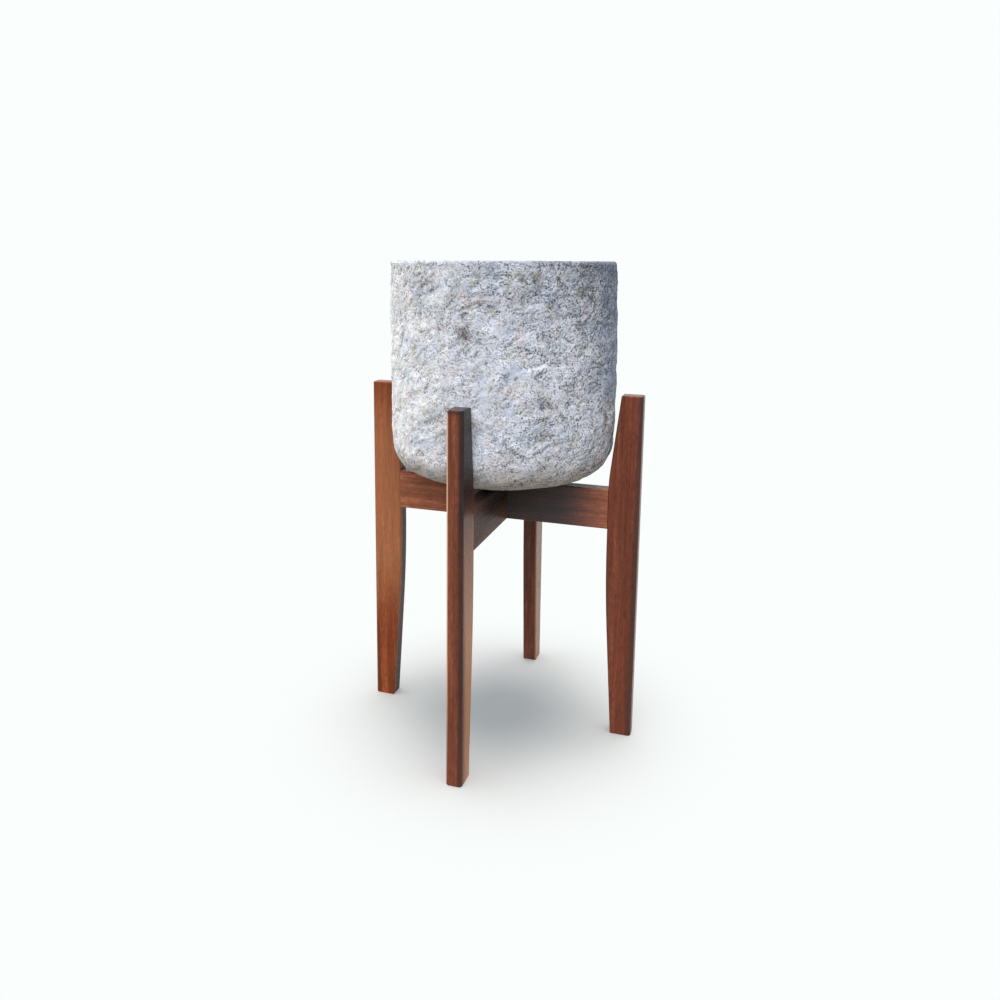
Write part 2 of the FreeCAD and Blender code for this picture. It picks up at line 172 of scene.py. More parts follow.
# Streaks in the wood: width, length, detail and distortion, and the levels between which they
# go from 0 to 1
STREAKS = {
    "bands": (0.0085, 0.30, 3, 0.4, 0.34, 0.66),
    "hues": (0.0060, 0.16, 2, 0.0, 0.40, 0.66),
    "fibres": (0.0024, 0.05, 3, 0.0, 0.32, 0.68),
    "pores": (0.0012, 0.012, 2, 0.0, 0.58, 0.68),
    "flecks": (0.0034, 0.0085, 3, 0.0, 0.38, 0.62),
}
BLOTCHES = (0.022, 4, 0.7, 0.0, 0.36, 0.64)

# Refractive index of the varnish, which is lower on a board where it has worn dull
FRESH_VARNISH = 1.26
WORN_VARNISH = {
    "leg_left": 1.18,
    "leg_front": 1.20,
    "rail_left_right": 1.22,
    "rail_front_back": 1.09,
}

# Soft lamps: how wide each one looks, its height above the floor and its turn about z, in degrees
OVERHEAD_LAMP, FRONT_LAMP, SIDE_LAMP = (32, 90, 0), (46, 42, 284), (40, 34, 165)

# Where the camera stands, how it is turned left, down and over in degrees, and its lens
CAMERA_PLACE = Vector((0.324841, -1.056609, 0.631946))
CAMERA_YAW, CAMERA_PITCH, CAMERA_ROLL = (math.radians(turn) for turn in (17.333, 9.381, 0.679))
CAMERA_LENS, CAMERA_SHIFT = 29.979, -0.10


def paint(*levels):
    """Turn display levels from 0 to 255 into linear light, by the sRGB curve."""
    shares = [level / 255 for level in levels]
    return tuple(s / 12.92 if s <= 0.04045 else ((s + 0.055) / 1.055) ** 2.4 for s in shares)


def length(name, description, default):
    """Make a length that the sidebar shows in the scene's unit."""
    return bpy.props.FloatProperty(
        name=name, description=description, default=default, min=0, unit="LENGTH"
    )


def colour(name, description, *levels):
    """Make a colour, given in display levels from 0 to 255."""
    return bpy.props.FloatVectorProperty(
        name=name, description=description, default=paint(*levels), min=0, max=1, subtype="COLOR"
    )


def share(name, description, default, highest=1):
    """Make a plain share or level."""
    return bpy.props.FloatProperty(
        name=name, description=description, default=default, min=0, max=highest
    )


class PotLook(bpy.types.PropertyGroup):
    """The pot's section, the relief cast into its surface, and its colours."""

    belly_height: length("Belly height", "Height of the widest place above the foot", 0.164)
    side_radius: length("Side radius", "Radius of the side's gentle swell", 3.36)
    corner_radius: length("Corner radius", "Radius between side and base", 0.0415)
    dish_radius: length("Dish radius", "Radius of the dished base", 0.215)
    foot_radius: length("Foot radius", "Radius of the flat foot", 0.035)
    wall: length("Wall", "Thickness of the pot's wall", 0.016)
    rim_round: length("Rim round", "Radius of both edges of the lip", 0.004)
    row_step: length("Row step", "Height of the surface's rows outside", 0.0020)
    columns: bpy.props.IntProperty(
        name="Columns", description="Columns of the surface all round", default=430, min=24
    )
    lump_height: length("Lump height", "How far the broad lumps stand out", 0.0018)
    clod_height: length("Clod height", "How far the torn clods stand out", 0.0018)
    flake_height: length("Flake height", "How far the small flakes stand out", 0.0009)
    grit_height: length("Grit height", "How far the grit stands out", 0.0005)
    relief_limit: length("Relief limit", "The most that all of it may add up to", 0.0042)
    slant: bpy.props.FloatProperty(
        name="Slant", description="Turn of the torn lines for each metre of height",
        default=8.0, unit="ROTATION"
    )
    lip_dip: length("Lip dip", "How much lower the lip is on the left", 0.0022)
    lip_shift: length("Lip shift", "How far the lip sits over to the left", 0.0030)
    inside_share: share("Inside share", "How much of the relief the inner wall gets", 0.35)
    pale: colour("Pale cement", "Main colour of the cement", 234, 239, 251)
    # Painted light: the lighter cement on the side towards the lamps
    painted_light_cream: colour("Cream cement", "Cement on the dry side", 246, 247, 247)
    warm: colour("Warm cement", "Pinkish places in the cement", 240, 228, 230)
    cool: colour("Cool cement", "Cooler, blue-grey places", 198, 214, 238)
    # Painted shade: blue in front on the side away from the lamps
    blue: colour("Blue cement", "Shaded blue at the damp side", 108, 134, 180)
    # Painted shade: slate grey towards the side away from the lamps; it also darkens the cement near
    # the rim
    painted_shade_slate: colour("Damp cement", "Water dark in the cement", 90, 108, 134)
    tan: colour("Tan stain", "Stain low on the pot", 184, 176, 158)
    moss: colour("Olive stain", "Faint olive patches", 200, 202, 172)
    brown: colour("Brown stain", "Stain in the deepest marks", 184, 146, 106)
    lip: colour("Lip", "Smooth grey of the lip", 112, 118, 132)
    # Colour of the dark specks, and of the painted shade in creases and hollows
    speck_and_painted_shade: colour("Speck", "Dark specks and creases", 58, 60, 66)
    roughness: share("Roughness", "How matt the cement is", 0.92)


class WoodLook(bpy.types.PropertyGroup):
    """The stain of each board, the painted shade, glint and light laid on the boards, and how strongly
    its grain shows.
    """

    left: colour("Left leg", "Stain of the left leg", 132, 68, 38)
    right: colour("Right leg", "Stain of the right leg", 117, 63, 43)
    front: colour("Front leg", "Stain of the front leg", 125, 71, 50)
    back: colour("Back leg", "Stain of the back leg", 102, 61, 47)
    across: colour("Rail across", "Stain of the rail from left to right", 158, 98, 72)
    deep: colour("Rail from front to back", "Stain of that rail, greyed by water", 106, 78, 62)
    # Painted glint along the front leg's left arris
    painted_glint: colour("Rubbed arris", "Where the stain has worn off", 236, 196, 160)
    # Painted shade on the outer arrises and where the pot shades the wood
    painted_shade: colour("Damp wood", "Where water from the pot has darkened the wood", 36, 34, 36)
    # Painted shade on the rail across, under the pot
    painted_shade_grey: colour("Soaked wood", "Grey of the rail across right under the pot", 58, 58, 61)
    # Painted shade on the rail from front to back, under the pot
    painted_shade_brown: colour("Soaked brown", "The same on the rail from front to back", 101, 78, 68)
    # Painted shade on the left leg's inner face
    varnish: colour("Old varnish", "Dark varnish inside the left leg", 50, 35, 29)
    # Painted light on the right sides of the front and back legs; it also lightens the left leg's
    # front halfway up
    lightened: colour("Faded wood", "Where light has faded the stain", 194, 136, 96)
    bare: colour("Bare wood", "Wood of the dowels inside the joints", 196, 160, 116)
    grain_share: share("Grain", "How strongly the grain darkens the stain", 0.44)
    roughness: share("Roughness", "How matt the varnish is", 0.26)


class StageLook(bpy.types.PropertyGroup):
    """The floor and the light, with levels at which 1 shows a white surface as white."""

    floor: colour("Background", "Colour of the floor and all behind it", 250, 254, 253)
    bounce: colour("Bounce", "Light that the floor gives back to the planter", 200, 190, 178)
    sky: colour("Sky colour", "Colour of the even light from all round", 230, 242, 255)
    sky_level: share("Sky", "Level of the even light from all round", 0.50, 4)
    overhead_level: share("Overhead", "Level of the soft lamp above", 0.50, 4)
    front_level: share("Front lamp", "Level of the soft lamp in front", 0.83, 4)
    side_level: share("Side lamp", "Level of the soft lamp to the left", 0.98, 4)
    shadow_start: length("Shadow start", "Where the floor's shadow starts to fade", 0.08)
    shadow_end: length("Shadow end", "Where the floor's shadow is gone", 0.38)
    floor_radius: length("Floor radius", "Radius of the floor", 30)


class Shade:
    """A socket's value, to which Python's operators add Math nodes."""

    def __init__(self, graph, socket):
        self.graph = graph
        self.socket = socket

    def out(self, name):
        """Give another output of the node that this value comes from."""
        return Shade(self.graph, self.socket.node.outputs[name])

    def worked(self, operation, *values):
        """Add a Math node on some values."""
        sockets = dict(enumerate(values))
        return self.graph.node("ShaderNodeMath", {"operation": operation}, sockets)

    def __add__(self, other):
        return self.worked("ADD", self, other)

    def __sub__(self, other):
        return self.worked("SUBTRACT", self, other)

    def __rsub__(self, other):
        return self.worked("SUBTRACT", other, self)

    def __mul__(self, other):
        return self.worked("MULTIPLY", self, other)

    __radd__ = __add__
    __rmul__ = __mul__


class Graph:
    """A node tree, filled by naming each node's type, settings and sockets."""

    def __init__(self, tree):
        self.tree = tree
        tree.nodes.clear()

    def node(self, kind, settings=None, sockets=None):
        """Add a node, set it up, fill its sockets and give its first output in use."""
        node = self.tree.nodes.new(kind)
        for name, value in (settings or {}).items():
            setattr(node, name, value)
        for name, value in (sockets or {}).items():
            socket = self.socket(node, name)
            if isinstance(value, Shade):
                self.tree.links.new(value.socket, socket)
            elif socket.type == "RGBA":
                socket.default_value = (*value[:3], 1)
            else:
                socket.default_value = value
        return next((Shade(self, out) for out in node.outputs if out.enabled), None)

    def socket(self, node, name):
        """Find an input in use by its name, or by its number where names repeat."""
        if isinstance(name, int):
            return node.inputs[name]
        return next(item for item in node.inputs if item.name == name and item.enabled)

    def place(self):
        """Give the coordinates of the piece itself."""
        return self.node("ShaderNodeTexCoord").out("Object")

    def vector(self, operation, *values):
        """Add a Vector Math node on some values."""
        return self.node("ShaderNodeVectorMath", {"operation": operation}, dict(enumerate(values)))

    def attribute(self, name):
        """Read a number that the mesh holds for each point."""
        return self.node("ShaderNodeAttribute", {"attribute_name": name}).out("Fac")

    def mix(self, factor, first, second, blend="MIX"):
        """Mix two colours."""
        settings = {"data_type": "RGBA", "blend_type": blend}
        return self.node("ShaderNodeMix", settings, {"Factor": factor, "A": first, "B": second})

    def coated(self, base, coats):
        """Lay coats over a colour, each given by its share and its own colour."""
        for part, tint in coats:
            base = self.mix(part, base, tint)
        return base

    def step(self, value, low, high):
        """Go smoothly from 0 to 1 while a value goes from low to high."""
        settings = {"interpolation_type": "SMOOTHSTEP"}
        sockets = {"Value": value, "From Min": low, "From Max": high}
        return self.node("ShaderNodeMapRange", settings, sockets)

    def noise(self, place, size, detail=2.0, roughness=0.5, distortion=0.0):
        """Cloudy noise with features of a given size, from 0 to 1."""
        sockets = {"Vector": place, "Scale": 1 / size, "Detail": detail}
        sockets |= {"Roughness": roughness, "Distortion": distortion}
        return self.node("ShaderNodeTexNoise", {}, sockets)

    def clouds(self, place, size, detail, roughness, distortion, low, high):
        """Clouds of a given size, from 0 between them to 1 inside."""
        return self.step(self.noise(place, size, detail, roughness, distortion), low, high)

    def stretched(self, place, scale):
        """Stretch coordinates along each axis."""
        return self.node("ShaderNodeMapping", {}, {"Vector": place, "Scale": scale})

    def bump(self, height, distance):
        """Turn a height from 0 to 1 into a bumped normal."""
        return self.node("ShaderNodeBump", {}, {"Height": height, "Distance": distance, "Strength": 1})

    def finish(self, shader):
        """End the tree in a surface."""
        self.node("ShaderNodeOutputMaterial", {}, {"Surface": shader})


def new_graph(name):
    """Make a material and its empty graph."""
    material = bpy.data.materials.new(name)
    material.use_nodes = True
    return material, Graph(material.node_tree)


def add_piece(name, points, faces, material):
    """Put an array of points and a list of faces into the scene as a smooth object."""
    mesh = bpy.data.meshes.new(name)
    mesh.from_pydata(points.tolist(), [], faces)
    mesh.shade_smooth()
    mesh.materials.append(material)
    piece = bpy.data.objects.new(name, mesh)
    bpy.context.scene.collection.objects.link(piece)
    return piece


def random_slopes(cells, seed):
    """Give each lattice corner a slope of its own, from a shuffled table read by its place."""
    table = np.random.default_rng(seed).uniform(-1, 1, (SLOPE_COUNT, 3))
    keys = (cells * LATTICE_PRIMES).astype(np.int64)
    keys = keys[:, 0] ^ keys[:, 1] ^ keys[:, 2]
    return table[keys % len(table)]


def noise(points, seed):
    """Gradient noise of about -1 to 1, with features one unit wide.

    Each corner of the unit cell round a point has a random slope. The slopes' heights at the
    point are blended by t * t * t * (t * (6 * t - 15) + 10) along each axis.
    """
    cells = np.floor(points).astype(np.int64)
    inside = points - cells
    ease = inside**3 * (inside * (inside * 6 - 15) + 10)
    total = np.zeros(len(points))
    for corner in np.ndindex(2, 2, 2):
        slopes = random_slopes(cells + corner, seed)
        weight = np.where(corner, ease, 1 - ease).prod(axis=1)
        total += weight * ((inside - corner) * slopes).sum(axis=1)
    return total * NOISE_GAIN


def layered(points, layers):
    """Add up noise in several feature sizes, each with its own seed and share."""
    return sum(part * noise(points / size, seed) for size, seed, part in layers)


def eased(values, low, high):
    """Go smoothly from 0 to 1 while values go from low to high."""
    part = np.clip((values - low) / (high - low), 0, 1)
    return part * part * (3 - 2 * part)


def noisy_places(points, size, seed, low, high):
    """Say where noise is high: 1 above the high level, 0 below the low one."""
    return eased(noise(points / size, seed), low, high)


def slanted(points, slant):
    """Turn points about the axis by an angle that grows with height.

    Noise drawn out along z on the turned points runs in lines that climb to the right.
    """
    turned = -slant * points[:, 2]
    cosine, sine = np.cos(turned), np.sin(turned)
    across = points[:, 0] * cosine - points[:, 1] * sine
    deep = points[:, 0] * sine + points[:, 1] * cosine
    return np.stack([across, deep, points[:, 2]], axis=1)


def clods(points, slant, width, lean, seed):
    """Rounded clods between sharp creases, from 0 in a crease to about 1.

    The size of noise makes the clods. They are then read again from points shifted up by
    their own height, which leans every clod over its lower crease.
    """
    sizes = (width, width, 1.5 * width)
    first = np.abs(noise(slanted(points, slant) / sizes, seed))
    shifted = points + np.stack([0 * first, 0 * first, lean * first], axis=1)
    return np.abs(noise(slanted(shifted, slant) / sizes, seed))


def all_marks():
    """Give the marks that show in front, and strew more over the back and between them."""
    random = np.random.default_rng(MARK_SEED)
    strewn = [random.uniform(low, high, (count, len(low))) for count, low, high in STREWN_MARKS]
    return np.concatenate([MARKS, *strewn])


def mark_depths(points):
    """Depth of the torn marks, and how brown they are.

    Each mark is depth * e to the power -(along^2 + across^2) * ragged, with both distances
    measured on the pot's surface, turned by the mark's tilt and divided by its half length and
    half width. The ragged factor is 1 plus noise, and LEAST_RAGGED at the least.
    """
    turns = np.arctan2(points[:, 1], points[:, 0])
    ragged = np.maximum(LEAST_RAGGED, 1 + layered(points, RAGGED_EDGES))
    depths, browns = np.zeros(len(points)), np.zeros(len(points))
    for turn, height, half_length, half_width, tilt, depth, brown in all_marks():
        gap = (turns - math.radians(turn) + np.pi) % (2 * np.pi) - np.pi
        sideways, upwards = gap * POT_HIGH.x, points[:, 2] - POT_LOW.z - height
        cosine, sine = math.cos(math.radians(tilt)), math.sin(math.radians(tilt))
        along = (sideways * cosine + upwards * sine) / half_length
        across = (upwards * cosine - sideways * sine) / half_width
        part = np.exp(-(along**2 + across**2) * ragged)
        depths += depth * part
        browns = np.maximum(browns, brown * part)
    return depths, browns


def cast_relief(points, look):
    """Height of the rough cement over its smooth form, how hollow each place is, and how brown.

    Broad lumps, slanting clods, smaller flakes of the same kind, grit and single marks are
    added up. The sum is squeezed into the limit by tanh.
    """
    sway = [noise(points / SWAY_SIZE, seed) for seed in SWAY_SEEDS]
    swayed = points + SWAY * np.stack(sway, axis=1)
    clod, torn = clods(swayed, look.slant, *CLODS), noisy_places(points, *TORN_PLACES)
    flake, flaked = clods(swayed, look.slant, *FLAKES), noisy_places(points, *FLAKED_PLACES)
    depths, browns = mark_depths(points)
    height = look.lump_height * layered(points, LUMPS) - SURFACE_SINK - depths
    height += look.grit_height * layered(points, GRIT)
    height += look.clod_height * (clod - CLOD_MEAN) * torn
    height += look.flake_height * (flake - CLOD_MEAN) * flaked
    crease = (1 - eased(clod, 0.02, 0.14)) * torn + 0.6 * (1 - eased(flake, 0.02, 0.2)) * flaked
    hollow = np.clip(0.6 * crease + depths / HOLLOW_DEPTH, 0, 1)
    return look.relief_limit * np.tanh(height / look.relief_limit), hollow, browns


def meeting(first, first_gap, second, second_gap):
    """Point at one distance from each of two centres, all written as radius + 1j * height."""
    apart = abs(first - second)
    along = (second_gap**2 - first_gap**2 + apart**2) / (2 * apart)
    return second + (first - second) / apart * (along + 1j * math.sqrt(second_gap**2 - along**2))


def pot_section(look):
    """Follow the wall's section from the middle of the foot, up outside and down inside.

    Places are written as radius + 1j * height above the foot, so an arc is its centre plus its
    radius times e to the power 1j * t. Gives the places, the way each one faces, and the
    share of the relief that it gets.
    """
    height, belly = POT_HIGH.z - POT_LOW.z, POT_HIGH.x
    side = belly - look.side_radius + 1j * look.belly_height
    dish = look.foot_radius + 1j * look.dish_radius
    corner = meeting(
        side, look.side_radius - look.corner_radius, dish, look.dish_radius - look.corner_radius
    )
    low, high = np.angle(corner - dish), np.angle(corner - side)
    lip = height - look.rim_round
    rims = []
    for reach in (look.side_radius - look.rim_round,
                  look.side_radius - look.wall + look.rim_round):
        across = math.sqrt(reach**2 - (lip - look.belly_height) ** 2)
        rims.append(side.real + across + 1j * lip)
    outer_rim, inner_rim = rims
    outer_top, inner_top = np.angle(outer_rim - side), np.angle(inner_rim - side)
    inside, arris, crown = look.inside_share, ARRIS_SHARE, CROWN_SHARE
    down, up = -math.pi / 2, math.pi / 2
    fine, coarse = look.row_step, 5 * look.row_step

    # Centre, radius, first and last angle, row step, relief at both ends, and 1 for outside
    arcs = [
        (dish, look.dish_radius, down, low, 3 * fine, 0, 1, 1),
        (corner, look.corner_radius, low, high, fine, 1, 1, 1),
        (side, look.side_radius, high, outer_top, fine, 1, 1, 1),
        (outer_rim, look.rim_round, outer_top, up, fine / 2, arris, crown, 1),
        (inner_rim, look.rim_round, up, math.pi + inner_top, fine / 2, crown, inside, 1),
        (side, look.side_radius - look.wall, inner_top, high, coarse, inside, inside, -1),
        (corner, look.corner_radius - look.wall, high, low, coarse, inside, inside, -1),
        (dish, look.dish_radius - look.wall, low, down, coarse, inside, inside, -1),
    ]
    places, facings, weights = [np.zeros(1)], [-1j * np.ones(1)], [np.zeros(1)]
    for centre, radius, start, end, step, first, last, outside in arcs:
        rows = max(3, round(radius * abs(end - start) / step))
        part = np.arange(rows) / rows
        facing = np.exp(1j * (start + (end - start) * part))
        places.append(centre + radius * facing)
        facings.append(outside * facing)
        weights.append(first + (last - first) * part**2)
    floor = look.foot_radius + 1j * look.wall
    places.append(np.array([floor, 1j * floor.imag]))
    facings.append(np.array([1j, 1j]))
    weights.append(np.array([inside, 0]))
    return np.concatenate(places), np.concatenate(facings), np.concatenate(weights)


def turned_points(spots):
    """Carry places, one for each row and column, round the axis, a column to each turn."""
    columns = spots.shape[1]
    turns = np.arange(columns) * (2 * np.pi / columns)
    across, deep = spots.real * np.cos(turns), spots.real * np.sin(turns)
    return np.stack([across, deep, spots.imag + POT_LOW.z], axis=-1).reshape(-1, 3)


def turned_faces(rows, columns):
    """List the quads of a surface turned about its axis, with a fan at each pole.

    Point 0 is the first pole, the last point is the other, and each row between them holds
    one point to a column. Faces wind so that they look away from the wall.
    """
    around = np.arange(columns)
    following = (around + 1) % columns
    starts = 1 + columns * np.arange(rows - 3)[:, None]
    quads = np.stack(
        [starts + around, starts + following,
         starts + columns + following, starts + columns + around],
        axis=-1,
    ).reshape(-1, 4)
    last = 1 + columns * (rows - 2)
    low_fan = np.stack([np.zeros_like(around), 1 + following, 1 + around], axis=1)
    high_fan = np.stack(
        [last - columns + around, last - columns + following, np.full_like(around, last)], axis=1
    )
    return quads.tolist() + low_fan.tolist() + high_fan.tolist()


def settle_lip(points, look):
    """Lower the lip to the left and move it over, by a power of the height above the foot."""
    rise = np.clip((points[:, 2] - POT_LOW.z) / (POT_HIGH.z - POT_LOW.z), 0, 1) ** LIP_POWER
    points[:, 2] -= rise * look.lip_dip * (0.5 - points[:, 0] / (2 * POT_HIGH.x))
    points[:, 0] -= rise * look.lip_shift


def creases(graph, slanted_place, size, reach, breaks):
    """Thin broken lines where slanting noise crosses its middle, and how far it is from there."""
    drawn_out = graph.stretched(slanted_place, CREASE_DRAW)
    drawn = graph.noise(drawn_out, size, CREASE_DETAIL, CREASE_ROUGHNESS)
    apart = drawn.worked("ABSOLUTE", drawn - 0.5)
    line = 1 - graph.step(apart, 0.2 * reach, reach)
    broken = graph.clouds(slanted_place, breaks, 2, 0.6, 0.0, 0.50, 0.58)
    return line * broken, apart


class Zones:
    """Where a place on the pot lies, as masks from 0 to 1, and the noise that all layers share."""

    def __init__(self, graph, look):
        self.place = graph.place()
        axes = graph.node("ShaderNodeSeparateXYZ", {}, {"Vector": self.place})
        height, front = axes.out("Z"), 1 - graph.step(axes.out("Y"), *BACK_REACH)
        across = graph.vector("DOT_PRODUCT", self.place, SHADE_WAY).out("Value")
        drift = graph.noise(self.place, *DRIFT) - 0.5
        self.grain = graph.noise(self.place, *GRAIN)
        self.fine = graph.noise(self.place, *FINE)
        self.hollow = graph.attribute("hollow")
        self.brown = graph.attribute("brown")
        # Painted light on the side towards the lamps, painted shade on the side away from them with
        # blue painted shade in front there, darker near the rim and tan low down
        self.painted_light_side = 1 - graph.step(across, *PAINTED_LIGHT_REACH)
        painted_shade_side = graph.step(across + drift * PAINTED_SHADE_WANDER, *PAINTED_SHADE_REACH)
        self.painted_shade_side = painted_shade_side * (0.3 + front * 0.7)
        self.rim_band = graph.step(height + drift * RIM_WANDER, *RIM_BAND_HEIGHTS)
        blue = graph.step(across + drift * BLUE_WANDER, *BLUE_REACH)
        self.blue = blue * front * graph.step(height, *BLUE_HEIGHTS)
        self.low = 1 - graph.step(height + drift * TAN_WANDER, *TAN_HEIGHTS)
        self.lip = graph.step(height + (self.fine - 0.5) * LIP_WANDER, *LIP_HEIGHTS)
        turn = (graph.noise(self.place, *TURN_DRIFT) - 0.5) * 0.9 - height * look.slant
        sockets = {"Vector": self.place, "Angle": turn}
        self.slanted = graph.node("ShaderNodeVectorRotate", {"rotation_type": "Z_AXIS"}, sockets)


def cement_tints(graph, look, zones):
    """Tint the cement: painted light to one side, painted shade to the other, darker at the rim, tan
    low down.
    """
    warm = graph.clouds(zones.place, *WARM_CLOUDS)
    olive = graph.clouds(zones.place, *OLIVE_CLOUDS)
    cool = graph.clouds(zones.place, *COOL_CLOUDS)
    speckle = (zones.grain - 0.5) * 0.9 + (zones.fine - 0.5) * 0.9
    stained = graph.step(zones.brown * 0.8 + speckle, 0.26, 0.52)
    # Painted shade in slate grey towards the shaded side, darker still near the rim
    painted_shade_grey = zones.rim_band * (0.10 + zones.painted_shade_side * 0.30) + zones.painted_shade_side * 0.02
    return graph.coated(look.pale, [
        (zones.painted_light_side, look.painted_light_cream),
        (warm * 0.6, look.warm),
        (olive * (0.38 + zones.hollow * 0.3 + zones.rim_band * 0.36), look.moss),
        (cool * 0.5, look.cool),
        (zones.blue * 0.5, look.blue),
        (painted_shade_grey, look.painted_shade_slate),
        (zones.low * 0.55, look.tan),
        (stained * 0.85, look.brown),
    ])


def cement(look):
    """Rough cast cement: pale lilac grey, painted shade to one side, darker towards the rim.

    Over its tints come mottles, clustered dark pits and broken creases, all stronger towards the
    shaded side and the rim, and then short strokes and dark hollows. The denser marks on the shaded
    side are partly painted shade. The smooth lip lies over them.
    """
    material, graph = new_graph("rough_cement")
    zones = Zones(graph, look)
    painted_shade_side, rim_band = zones.painted_shade_side, zones.rim_band
    # Marks grow denser towards the rim and, as painted shade, towards the shaded side
    rough_side = painted_shade_side * (0.42 + painted_shade_side * 0.42)
    rough_top = rim_band * (0.28 + painted_shade_side * 0.6)
    rough = 0.46 + rough_side + rough_top + zones.low * 0.1 + zones.brown * 0.6

    cluster = graph.clouds(zones.place, *PIT_CLUSTERS)
    pits = graph.clouds(zones.place, *PITS) * (0.2 + cluster * 0.8)
    line, apart = creases(graph, zones.slanted, *LARGE_CREASES)
    small_line, small_apart = creases(graph, zones.slanted, *SMALL_CREASES)
    drawn_out = graph.stretched(zones.slanted, STROKE_DRAW)
    strokes = graph.step(graph.noise(drawn_out, *STROKES), 0.66, 0.71) * cluster
    mottle = graph.noise(drawn_out, *MOTTLES) * 0.45 + zones.fine * 0.2 + zones.grain * 0.35
    mottle = graph.step(mottle, 0.40, 0.55)
    # Dark specks and strokes, with painted shade in the creases and hollows
    dark = (pits * 0.9 + line * 0.7 + small_line * 0.7) * rough + strokes * 0.6
    dark += zones.hollow * (0.68 - mottle * 0.42)
    dark = graph.node("ShaderNodeClamp", {}, {"Value": dark, "Max": 0.9})

    base = graph.mix(rough * 0.30, cement_tints(graph, look, zones), mottle, "MULTIPLY")
    base = graph.coated(base, [(dark, look.speck_and_painted_shade), (zones.lip * 0.4, look.lip)])
    relief = apart * 1.4 + small_apart * (0.6 + rough) + zones.grain * 0.6 + zones.fine * 0.5
    relief -= pits * 0.8 + strokes * 0.6
    normal = graph.bump(relief * (1 - zones.lip * 0.5), CEMENT_BUMP)
    sockets = {"Base Color": base, "Roughness": look.roughness, "Normal": normal}
    graph.finish(graph.node("ShaderNodeBsdfPrincipled", {}, sockets))
    return material


def patch_share(graph, place, centre, reach):
    """1 within a third of the reach of a centre along each axis, and 0 beyond the reach."""
    gap = graph.vector("SUBTRACT", place, centre)
    part = graph.vector("ABSOLUTE", graph.vector("DIVIDE", gap, reach))
    axes = graph.node("ShaderNodeSeparateXYZ", {}, {"Vector": part})
    farthest = axes.worked("MAXIMUM", axes.out("X"), axes.out("Y"))
    farthest = axes.worked("MAXIMUM", farthest, axes.out("Z"))
    return 1 - graph.step(farthest, 0.33, 1)


def stained_wood(piece, stain, grain, look, patches=()):
    """Straight-grained wood under a satin varnish.

    Coordinates are squeezed along the grain, so that noise drawn on them runs out into
    streaks: broad bands, redder hues, fine fibres, and short pores and flecks. Cloudy blotches
    darken it too. Each patch of another colour is given by its centre, its reach along each
    axis, its colour and its share.
    """
    material, graph = new_graph(f"{piece}_wood")
    place = graph.place()

    def streaks(width, run, detail, distortion, low, high):
        """Streaks of one width across the grain that run farther along it, from 0 to 1."""
        drawn = graph.stretched(place, [width / run if along else 1 for along in grain])
        return graph.clouds(drawn, width, detail, 0.6, distortion, low, high)

    bands, hues, fibres, pores, flecks = (streaks(*streak) for streak in STREAKS.values())
    light = [min(1, part * 1.58 + 0.004) for part in stain]
    dark = [part * (1 - look.grain_share) for part in stain]
    darkest = [part * 0.35 for part in stain]
    red = [stain[0] * 1.05, stain[1] * 0.66, stain[2] * 0.72]
    base = graph.coated(dark, [
        (bands, light),
        (hues * 0.6, red),
        (graph.clouds(place, *BLOTCHES) * 0.34, dark),
        (flecks * 0.40, dark),
        ((1 - fibres) * 0.5, dark),
        (pores * 0.55, darkest),
    ])
    uneven = 0.85 + fibres * 0.15
    base = graph.coated(base, [
        (patch_share(graph, place, centre, reach) * uneven * most, tint)
        for centre, reach, tint, most in patches
    ])
    sockets = {
        "Base Color": base,
        "Roughness": look.roughness + (fibres - 0.5) * 0.10,
        "IOR": WORN_VARNISH.get(piece, FRESH_VARNISH),
        "Normal": graph.bump(fibres * 0.5 - pores, WOOD_BUMP),
    }
    graph.finish(graph.node("ShaderNodeBsdfPrincipled", {}, sockets))
    return material


def leg_patches(look):
    """Give each leg's patches: centre, reach along each axis, colour and share."""
    edge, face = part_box("leg_front")[0].y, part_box("leg_front")[1].x
    return {
        # Front face, lighter halfway up, and the inner edge, darkened with painted shade
        "left": [
            ((edge, -face, 0.295), (0.10, 0.010, 0.20), look.lightened, 0.40),
            ((-0.152, 0.006, 0.14), (0.022, 0.0165, 0.40), look.varnish, 0.95),
        ],
        # Outer front arris, darkened with painted shade
        "right": [((-edge, -face, 0.23), (0.010, 0.012, 0.70), look.painted_shade, 0.6)],
        # Left arris, lit by a painted glint, then right arris, top of the right side and top end,
        # darkened with painted shade, and the lower part of the right side, lit with painted light
        "front": [
            ((-face, edge, 0.38), (0.0036, 0.006, 0.40), look.painted_glint, 0.8),
            ((face, edge, 0.23), (0.0085, 0.008, 0.40), look.painted_shade, 0.75),
            ((face, -0.150, 0.44), (0.006, 0.070, 0.165), look.painted_shade, 1.0),
            ((0, -0.170, 0.47), (0.020, 0.040, 0.012), look.painted_shade, 0.82),
            ((face, -0.160, 0.02), (0.004, 0.028, 0.36), look.lightened, 0.9),
        ],
        # Right side, lit with painted light
        "back": [((face, -edge, 0.18), (0.0025, 0.070, 0.50), look.lightened, 0.55)],
    }


def rail_patches(look):
    """Give each rail's patches, painted shade under the pot."""
    under, top = (0.035, -0.012, POT_LOW.z - 0.011), (0.035, -0.012, POT_LOW.z + 0.005)
    return {
        "rail_left_right": [(under, (0.130, 0.12, 0.12), look.painted_shade_grey, 1)],
        "rail_front_back": [
            (under, (0.12, 0.17, 0.12), look.painted_shade_brown, 1),
            (top, (0.12, 0.17, 0.058), look.painted_shade, 0.95),
        ],
    }


def dress(names, material):
    """Give carried-over pieces a finish."""
    for name in names:
        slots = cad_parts[name].data.materials
        slots.clear()
        slots.append(material)


